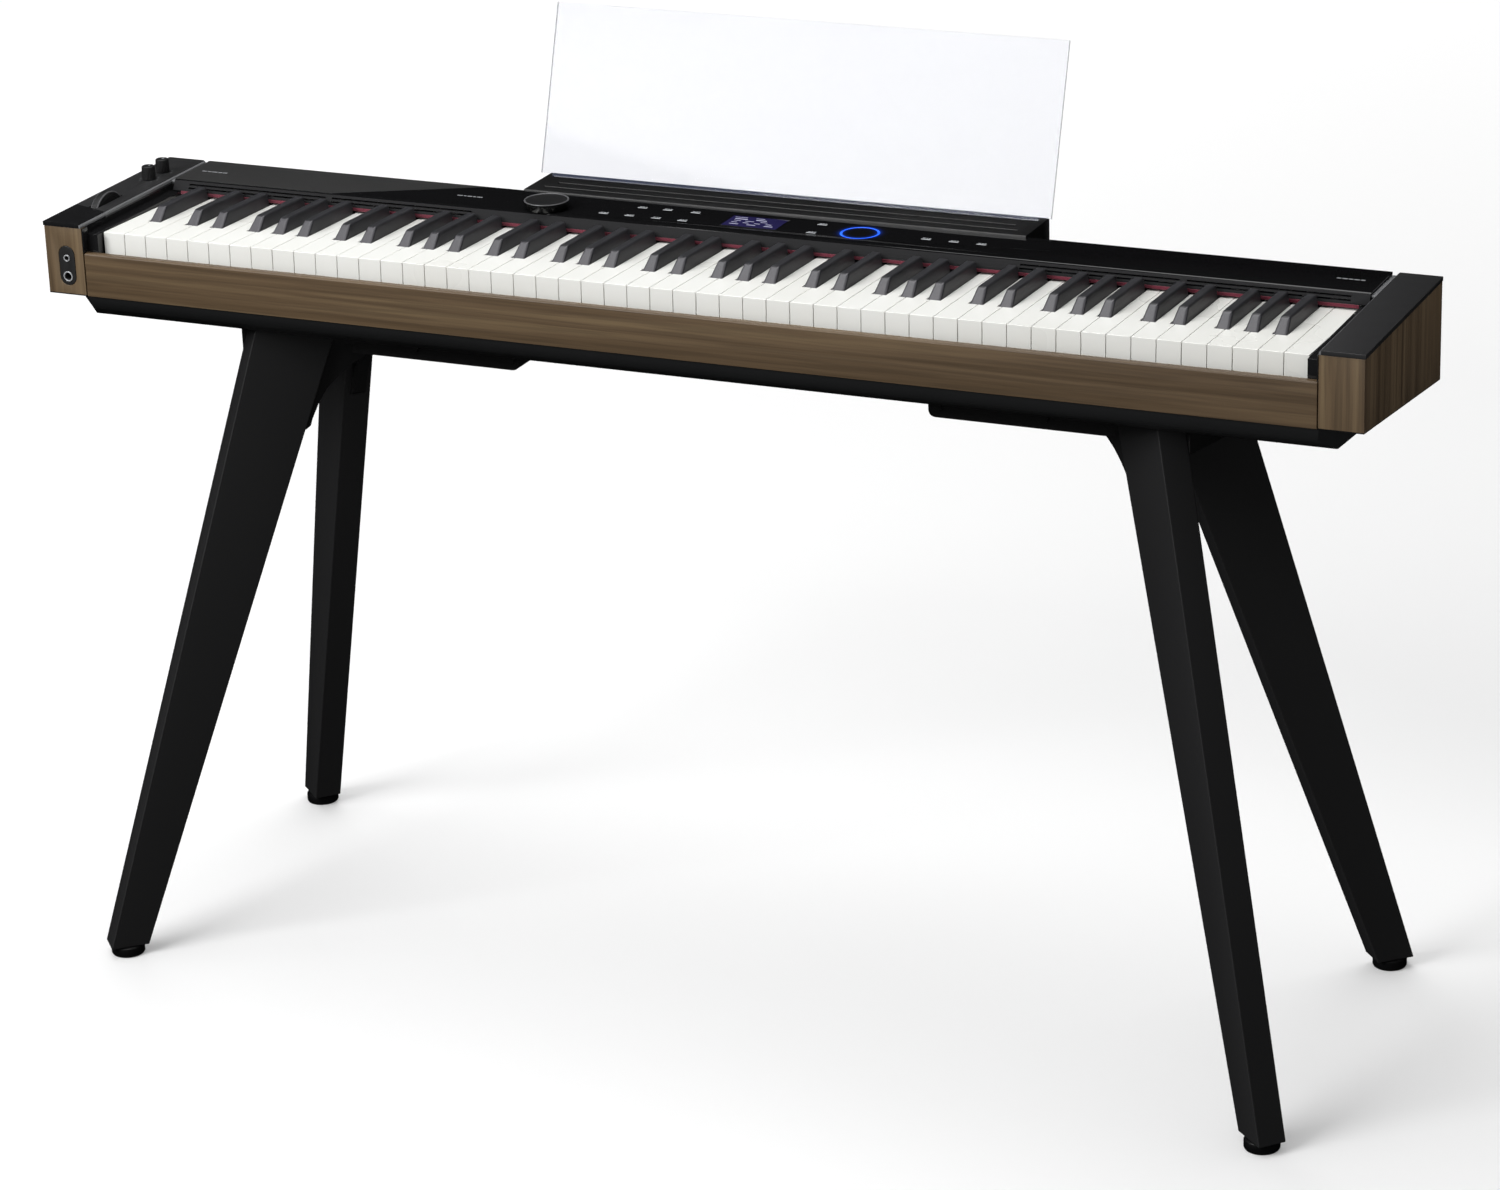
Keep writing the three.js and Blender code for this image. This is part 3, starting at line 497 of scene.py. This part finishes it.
def flat_mark(outlines, z, thick=0.06):
    """Vertices and faces of thin raised marks, one closed body for each outline of (x, y) points."""
    vertices, faces = [], []
    for points in outlines:
        start, count = len(vertices), len(points)
        vertices += [(x, y, z) for x, y in points] + [(x, y, z + thick) for x, y in points]
        faces.append(tuple(start + i for i in reversed(range(count))))
        faces.append(tuple(start + count + i for i in range(count)))
        for i in range(count):
            j = (i + 1) % count
            faces.append((start + i, start + j, start + count + j, start + count + i))
    return vertices, faces


def bar(x, y, width, depth):
    """A rectangle's outline round (x, y)."""
    return [(x - width / 2, y - depth / 2), (x + width / 2, y - depth / 2),
            (x + width / 2, y + depth / 2), (x - width / 2, y + depth / 2)]


# ---------------------------------------------------------------- CAD pieces that keep their shape

KEPT = {
    "left_cheek": ("cheek", 0.5), "right_cheek": ("cheek", 0.5), "front_rail": ("rail", 0.5),
    "lower_case": ("case", 1.2), "left_end_cap": ("cap", 0.5), "right_end_cap": ("cap", 0.5),
    "top_panel": ("panel", 0.3), "key_felt": ("felt", 0.6), "display_lens": ("lens", 0.1),
    "rear_panel": ("satin", 0.4), "music_rest_holder": ("holder", 0.5),
    "key_chassis": ("chassis", 0.4), "key_fulcrum_rail": ("chassis", 0.3),
    "main_circuit_board": ("board", 0.1), "left_speaker": ("chassis", 0.4), "right_speaker": ("chassis", 0.4),
    "left_stand_beam": ("beam", 1.2), "right_stand_beam": ("beam", 1.2), "jack_plate": ("satin", 0.4),
}
for node, (finish, width) in KEPT.items():
    paint(NODES[node], finish)
    soften(NODES[node], width)
for side in ("left", "right"):
    for end in ("front", "rear"):
        paint(NODES[f"{end}_{side}_leg"], "stand")
        soften(NODES[f"{end}_{side}_leg"], 1.2)

# The clear sheet shows its cut edges.
rest = NODES["music_rest"]
rest.visible_glossy = False
paint(rest, "clear", "clear_edge")
for face in rest.data.polygons:
    face.material_index = 0 if abs(face.normal.y) > 0.9 else 1

# ---------------------------------------------------------------- keys

OCTAVE = 165.2
WHITE = OCTAVE / 7
KEYBOARD_LEFT = -26 * WHITE
NOTE_NAMES = ["c", "cs", "d", "ds", "e", "f", "fs", "g", "gs", "a", "as", "b"]
WHITE_NOTES = [0, 2, 4, 5, 7, 9, 11]
PIVOT = Vector((0, 61, 718.2))
KEY_TILT = Matrix.Rotation(math.radians(-1.67), 3, "X")


def octave_left(octave):
    return KEYBOARD_LEFT + 2 * WHITE + (octave - 1) * OCTAVE


def semitone_edge(note):
    """Where a note's share of the rear of the keyboard starts, from the octave's left edge."""
    if note <= 5:
        return note * 3 * WHITE / 5
    return 3 * WHITE + (note - 5) * (OCTAVE - 3 * WHITE) / 7


def from_pivot(points):
    """Points of a level key round its pivot, tilted and placed."""
    return [KEY_TILT @ Vector(p) + PIVOT for p in points]


def white_key(name, octave, note, body):
    """One white key: a head with a front lip, and a tail that passes between the black keys."""
    gap, front, lip, notch, rear, low, top, foot = 0.33, -182.4, -176.4, -131.6, 30, 0.3, 15, -7.5
    left = octave_left(octave)
    place = WHITE_NOTES.index(note)
    x0, x1 = left + place * WHITE + gap, left + (place + 1) * WHITE - gap
    first, last = (octave, note) == (0, 9), (octave, note) == (8, 0)
    t0 = x0 if first or last else max(left + semitone_edge(note) + gap, x0)
    t1 = x1 if last else min(left + semitone_edge(note + 1) - gap, x1)
    back = [(x1, notch)] + ([(t1, notch)] if t1 < x1 else []) + [(t1, rear), (t0, rear)]
    back += ([(t0, notch)] if t0 > x0 else []) + [(x0, notch)]
    loop = [(x0, lip), (x1, lip)] + back
    count = len(loop)
    points = [(x, y, low) for x, y in loop] + [(x, y, top) for x, y in loop]
    points += [(x0, front, top), (x1, front, top), (x0, front, foot), (x1, front, foot),
               (x0, lip, foot), (x1, lip, foot)]
    a0, a1, b0, b1, c0, c1 = range(2 * count, 2 * count + 6)
    faces = [tuple(reversed(range(count)))]
    faces.append((a0, a1) + tuple(range(count + 1, 2 * count)) + (count,))
    for i in range(1, count):
        j = (i + 1) % count
        faces.append((i, j, count + j, count + i))
    faces += [(b0, b1, a1, a0), (c0, c1, b1, b0), (0, 1, c1, c0),
              (b1, c1, 1, count + 1, a1), (c0, b0, a0, count, 0)]
    obj = add_piece(name, from_pivot(points), faces, "white", body)
    soften(obj, 0.45)
    return obj


def black_key(name, octave, note, body):
    """One black key: a tapering cap with a sloping front and rounded top, on a plain arm."""
    x = octave_left(octave) + (semitone_edge(note) + semitone_edge(note + 1)) / 2
    base, crown = 6.6, 4.7  # half widths
    seat, top, rear = 14.6, 27.3, -36.3
    sloping_front, plain_edge = 7, 0.08
    points = []
    for side in (-1, 1):
        points += [(x + side * base, y, z) for y, z in
                   ((-112, 0.6), (-130, 8), (-130, seat), (rear, seat), (18, seat), (18, 0.6))]
        points += [(x + side * crown, -115.2, top), (x + side * crown, rear - 0.4, top)]
    faces = [(0, 5, 4, 3, 2, 1), (8, 9, 10, 11, 12, 13), (0, 8, 13, 5), (5, 13, 12, 4), (4, 12, 11, 3),
             (1, 9, 8, 0), (2, 10, 9, 1), (6, 14, 10, 2), (7, 15, 14, 6), (3, 11, 15, 7),
             (2, 3, 7, 6), (11, 10, 14, 15)]
    obj = add_piece(name, from_pivot(points), faces, "black", body, smooth=True)
    # the sloping front gets the lighter copy of the ebony: a painted highlight
    obj.data.materials.append(FINISH["black_lit_front"])
    obj.data.polygons[sloping_front].material_index = 1
    weights = obj.data.attributes.new("bevel_weight_edge", "FLOAT", "EDGE")
    share = {frozenset(p): w for p, w in (((6, 14), 1.0), ((6, 7), 0.5), ((14, 15), 0.5), ((2, 6), 0.8),
                                          ((10, 14), 0.8), ((7, 15), 0.3), ((3, 7), 0.3), ((11, 15), 0.3))}
    for edge in obj.data.edges:
        weights.data[edge.index].value = share.get(frozenset(edge.vertices), plain_edge)
    bevel = obj.modifiers.new("bevel", "BEVEL")
    bevel.limit_method = "WEIGHT"
    bevel.width = 3.6 * MM
    bevel.segments = 5
    bevel.harden_normals = True
    return obj


def key_node(octave, note):
    """The CAD node that holds this key."""
    if octave in (4, 8) or (octave, note) == (0, 10):
        return f"key_{NOTE_NAMES[note]}{octave}"
    return f"{'white' if note in WHITE_NOTES else 'black'}_keys_octave_{octave}"


ALL_KEYS = [(0, 9), (0, 10), (0, 11)] + [(o, n) for o in range(1, 8) for n in range(12)] + [(8, 0)]
for octave, note in ALL_KEYS:
    node = key_node(octave, note)
    make = white_key if note in WHITE_NOTES else black_key
    piece = make(f"note_{NOTE_NAMES[note]}{octave}", octave, note, node + "_body")
    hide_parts(node)

# ---------------------------------------------------------------- dial, knobs, wheel, ring and feet

TOP = 750
DIAL_X, DIAL_Y = -214, 51.1
DIAL_TOP, RIM_HIGHLIGHT_INNER = 0.7586, 0.0205  # metres
KNOB_X, KNOB_YS = -647, (23, 50)
dial = lathe("volume_dial_fine", [
    (0, -9), (3, -9), (3, 0.6), (19.6, 0.6), (19.8, 1.0), (19.8, 5.0), (20.2, 5.4), (21.7, 5.5), (22.2, 6.0),
    (22.2, 8.6), (21.9, 9.2), (21.2, 9.4), (20.7, 9.2), (20.4, 8.8), (0, 8.7),
], "dial", "dial", (DIAL_X, DIAL_Y, TOP))
dial.data.materials.append(FINISH["dial_top"])
# the dial's upper rim bevel gets the pale rim finish, a painted highlight
dial.data.materials.append(FINISH["rim"])
for face in dial.data.polygons:
    out = math.hypot(face.center.x - DIAL_X * MM, face.center.y - DIAL_Y * MM)
    if face.center.z > DIAL_TOP:
        face.material_index = 1 if out < RIM_HIGHLIGHT_INNER else 2
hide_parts("volume_dial")


def knob(name, y, body, node):
    """A ribbed knob with a pointer line. A ring is its radius, its height and the depth of its ribs."""
    x, ribs, steps = KNOB_X, 28, 4
    rings = [(3, -14, 0), (3, 0.5, 0), (6.9, 0.5, 0.28), (6.5, 12.4, 0.28), (6.3, 13.4, 0.12),
             (5.7, 14, 0), (4.9, 13.7, 0)]
    count = ribs * steps
    vertices, faces = [(x, y, TOP - 14)], []
    for radius, height, rib in rings:
        for step in range(count):
            turn = 2 * math.pi * step / count
            r = radius + rib * (1 if step % steps < steps / 2 else -1) / 2
            vertices.append((x + r * math.cos(turn), y + r * math.sin(turn), TOP + height))
    vertices.append((x, y, TOP + 13.6))
    for step in range(count):
        after = (step + 1) % count
        faces.append((0, 1 + after, 1 + step))
        for ring in range(len(rings) - 1):
            low, high = 1 + ring * count, 1 + (ring + 1) * count
            faces.append((low + step, low + after, high + after, high + step))
        end = 1 + (len(rings) - 1) * count
        faces.append((end + step, end + after, len(vertices) - 1))
    obj = add_piece(name, vertices, faces, "knob", body)
    smooth_by_angle(obj, 30)
    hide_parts(node)
    line = flat_mark([bar(x, y + 3.1, 0.8, 3.4)], TOP + 13.68, 0.1)
    pointer = add_piece(name + "_pointer", *line, "mark", body)


knob("front_knob_fine", KNOB_YS[0], "knob_front", "front_knob")
knob("rear_knob_fine", KNOB_YS[1], "knob_rear", "rear_knob")


def pitch_wheel():
    """The wheel has a finely ribbed tread between two rim edges painted pale as a painted highlight."""
    half, radius, count = 4.5, 28.9, 180
    highlight_inner, highlight_half = radius - 0.9, half - 1.4
    centre = Vector((KNOB_X, -60, TOP + 10 - radius))
    rings = [(3, -half - 2), (3, -half), (radius - 5, -half), (radius - 4.4, -half + 0.4),
             (radius - 1.0, -half + 0.4), (radius - 0.1, -half + 1.1), (radius, -half + 1.5),
             (radius, half - 1.5), (radius - 0.1, half - 1.1), (radius - 1.0, half - 0.4),
             (radius - 4.4, half - 0.4), (radius - 5, half), (3, half), (3, half + 2)]
    vertices, faces = [centre + Vector((-half - 2, 0, 0))], []
    for r, across in rings:
        for step in range(count):
            turn = 2 * math.pi * step / count
            depth = r - 0.14 if r == radius and step % 4 < 2 else r
            vertices.append(centre + Vector((across, depth * math.sin(turn), depth * math.cos(turn))))
    vertices.append(centre + Vector((half + 2, 0, 0)))
    for step in range(count):
        after = (step + 1) % count
        faces.append((0, 1 + step, 1 + after))
        for ring in range(len(rings) - 1):
            low, high = 1 + ring * count, 1 + (ring + 1) * count
            faces.append((low + step, high + step, high + after, low + after))
        end = 1 + (len(rings) - 1) * count
        faces.append((end + step, len(vertices) - 1, end + after))
    obj = add_piece("pitch_wheel_fine", vertices, faces, "knob", "wheel")
    # the faces on the two rim edges get the pale finish, a painted highlight
    obj.data.materials.append(FINISH["rim"])
    for face in obj.data.polygons:
        out = (face.center / MM - centre).yz.length
        if out > highlight_inner and abs(face.center.x / MM - centre.x) > highlight_half:
            face.material_index = 1
    smooth_by_angle(obj, 30)
    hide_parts("pitch_wheel")


pitch_wheel()

ring = lathe("touch_ring_fine", [
    (17.0, -1.2), (19.2, -1.2), (19.2, -0.6), (18.8, -0.05), (17.7, -0.05), (17.0, -0.6), (17.0, -1.2),
], "ring", "body", (RING_CENTRE[0] / MM, RING_CENTRE[1] / MM, TOP), 128)
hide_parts("touch_ring")

for side in ("left", "right"):
    for end in ("front", "rear"):
        node = f"{end}_{side}_foot"
        low, high = (Vector(c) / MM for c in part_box(node))
        foot = lathe(node + "_fine", [
            (0, 0), (14.6, 0), (16.2, 0.5), (17, 1.9), (17, 8.4), (16.5, 9.8), (15.2, 10.7), (0, 10.7),
        ], "rubber", "body", ((low.x + high.x) / 2, (low.y + high.y) / 2, 0), 72)
        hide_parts(node)

# ---------------------------------------------------------------- headphone sockets

JACK_X, JACK_Y = -646.2, -139.6
for name, z, inner, outer in (("large_jack_ring", 695.6, 3.9, 5.2), ("small_jack_ring", 714.2, 2.4, 3.5)):
    ring = lathe(name, [
        (inner, -0.2), (inner, 0.6), (inner + 0.3, 0.9), (outer - 0.4, 0.9), (outer, 0.4), (outer, -0.2),
        (inner, -0.2),
    ], "silver", "body", (JACK_X, JACK_Y, z), 64, turned=True)

# ---------------------------------------------------------------- printed and lit marks


def touch_mark(x, y):
    """A short lit bar with a row of small dashes behind it."""
    return [bar(x, y, 9.5, 1.5), bar(x - 2.6, y + 3.2, 2.6, 0.9), bar(x + 0.4, y + 3.2, 1.8, 0.9),
            bar(x + 3.2, y + 3.2, 2.2, 0.9)]


# Rows of plain dashes on the panel: where a row starts, how far back it is and how wide its dashes are.
PRINTED = (
    (-610, 66, (5, 4, 6, 4, 5)),
    (-320, 66, (6, 3, 5, 3, 6)),
    (580, 68, (4, 5, 4, 5, 4)),
)
DASH_DEPTH, DASH_SPACE = 2.2, 1.2
DOT, DOT_RADIUS = 1.1, 9.6  # the dots round each knob
# Rows of bars on the display: how far back, how deep, and each bar's middle and width.
SCREEN = (
    (80.6, 0.9, ((-19, 13), (1, 9))),
    (75.4, 1.7, ((-17, 13), (4, 11))),
    (70.0, 1.0, ((-19, 7), (-6, 9), (9, 7))),
    (64.6, 1.1, ((-20, 6), (-8, 6), (4, 6), (16, 6))),
    (59.0, 1.4, ((-18, 9), (0, 9), (18, 9))),
)

lit = []
for x in (-153.6, -126.1, -97.5, -69.7):
    lit += touch_mark(x, 52.3)
for x in (-125.2, -98.2, -68.4, 65.0):
    lit += touch_mark(x, 81)
lit += touch_mark(65.0, 53)
for x in (177.5, 205.7, 233.6):
    lit += touch_mark(x, 66.5)
marks = add_piece("touch_marks", *flat_mark(lit, TOP), "mark", "body")

dashes = []
for x, y, widths in PRINTED:
    for width in widths:
        dashes.append(bar(x + width / 2, y, width, DASH_DEPTH))
        x += width + DASH_SPACE
for y in KNOB_YS:
    for turn in range(-135, 136, 45):
        across, back = DOT_RADIUS * math.sin(math.radians(turn)), DOT_RADIUS * math.cos(math.radians(turn))
        dashes.append(bar(KNOB_X + across, y + back, DOT, DOT))
printed = add_piece("printed_dashes", *flat_mark(dashes, TOP, 0.05), "mark_dim", "body")

screen = [bar(x, y, width, depth) for y, depth, places in SCREEN for x, width in places]
text = add_piece("display_marks", *flat_mark(screen, TOP), "lit_bar", "body")

# ---------------------------------------------------------------- studio


def area_light(name, place, target, size, power):
    """A white rectangular lamp that shines at a target. Places are in metres and power is in watts."""
    data = bpy.data.lights.new(name, "AREA")
    data.shape = "RECTANGLE"
    data.size, data.size_y = size
    data.energy = power
    lamp = bpy.data.objects.new(name, data)
    bpy.context.scene.collection.objects.link(lamp)
    lamp.location = place
    lamp.rotation_euler = (Vector(target) - Vector(place)).to_track_quat("-Z", "Y").to_euler()
    return lamp


def add_stage(name, vertices, faces, material):
    """A part of the studio, seen by the camera only so that it doesn't light the piano."""
    mesh = bpy.data.meshes.new(name)
    mesh.from_pydata(vertices, [], faces)
    mesh.materials.append(material)
    obj = bpy.data.objects.new(name, mesh)
    bpy.context.scene.collection.objects.link(obj)
    obj.visible_diffuse = False
    obj.visible_glossy = False
    obj.visible_transmission = False
    return obj


def studio():
    """White floor and backdrop, an even world light and three lamps."""
    scene = bpy.context.scene
    world = bpy.data.worlds.new("studio")
    scene.world = world
    world.use_nodes = True
    light = world.node_tree.nodes["Background"]
    light.inputs["Color"].default_value = (1, 1, 1, 1)
    light.inputs["Strength"].default_value = 0.45
    world.cycles_visibility.glossy = False

    reach, fade = 9, 0.2  # the floor's half width, and how its glow ramp runs for each metre
    paper = Look("floor_paper", "dadada", 0.9)
    paper.shader.inputs["Specular IOR Level"].default_value = 0.1
    paper.shader.inputs["Emission Color"].default_value = (1, 1, 1, 1)
    far = paper.node("ShaderNodeVectorMath", operation="LENGTH")
    paper.wire(paper.place, far.inputs[0])
    share = paper.math("MULTIPLY", far.outputs["Value"], fade)
    glow = paper.ramp(share, [(0.0, 0.23), (0.2, 0.16), (0.4, 0.2), (0.8, 0.5), (1.0, 0.6)])
    paper.wire(glow, paper.shader.inputs["Emission Strength"])
    paper.bump(paper.noise(600.0, 2.0, 0.5), 0.00002, 0.2)
    add_stage("floor", [(-reach, -reach, 0), (reach, -reach, 0), (reach, reach, 0), (-reach, reach, 0)],
              [(0, 1, 2, 3)], paper.mat)

    backdrop = Look("backdrop", "000000", 1.0)
    backdrop.shader.inputs["Specular IOR Level"].default_value = 0.0
    backdrop.shader.inputs["Emission Color"].default_value = (1, 1, 1, 1)
    backdrop.shader.inputs["Emission Strength"].default_value = 1.0
    side, bottom = 12, -0.4
    corners = [(x, y, z) for z in (bottom, side)
               for x, y in ((-side, -side), (side, -side), (side, side), (-side, side))]
    walls = [(0, 1, 5, 4), (1, 2, 6, 5), (2, 3, 7, 6), (3, 0, 4, 7), (4, 5, 6, 7), (0, 1, 2, 3)]
    room = add_stage("backdrop", corners, walls, backdrop.mat)
    room.visible_shadow = False

    area_light("key_light", (-2.2, -3.2, 3.0), (0, 0, 0.6), (2.6, 1.8), 156)
    area_light("top_light", (-0.4, 0.3, 3.6), (0, 0, 0.7), (3.2, 2.0), 70)
    back = area_light("back_light", (-2.6, 3.0, 2.0), (-0.2, 0, 0.75), (2.2, 1.2), 25)
    back.visible_glossy = False
    scene.view_settings.view_transform = "Standard"


def camera():
    """Seen from the treble end, a little above the keys."""
    data = bpy.data.cameras.new("camera")
    data.sensor_width = 36
    data.lens = 109.37
    cam = bpy.data.objects.new("camera", data)
    bpy.context.scene.collection.objects.link(cam)
    place = Vector((1.73834, -3.76704, 1.98889))
    target = Vector((0.01283, 0.0, 0.39320))
    roll = math.radians(-1.964)
    turn = (target - place).to_track_quat("-Z", "Y").to_matrix() @ Matrix.Rotation(roll, 3, "Z")
    cam.matrix_world = Matrix.Translation(place) @ turn.to_4x4()
    bpy.context.scene.camera = cam


studio()
camera()

bpy.context.view_layer.update()
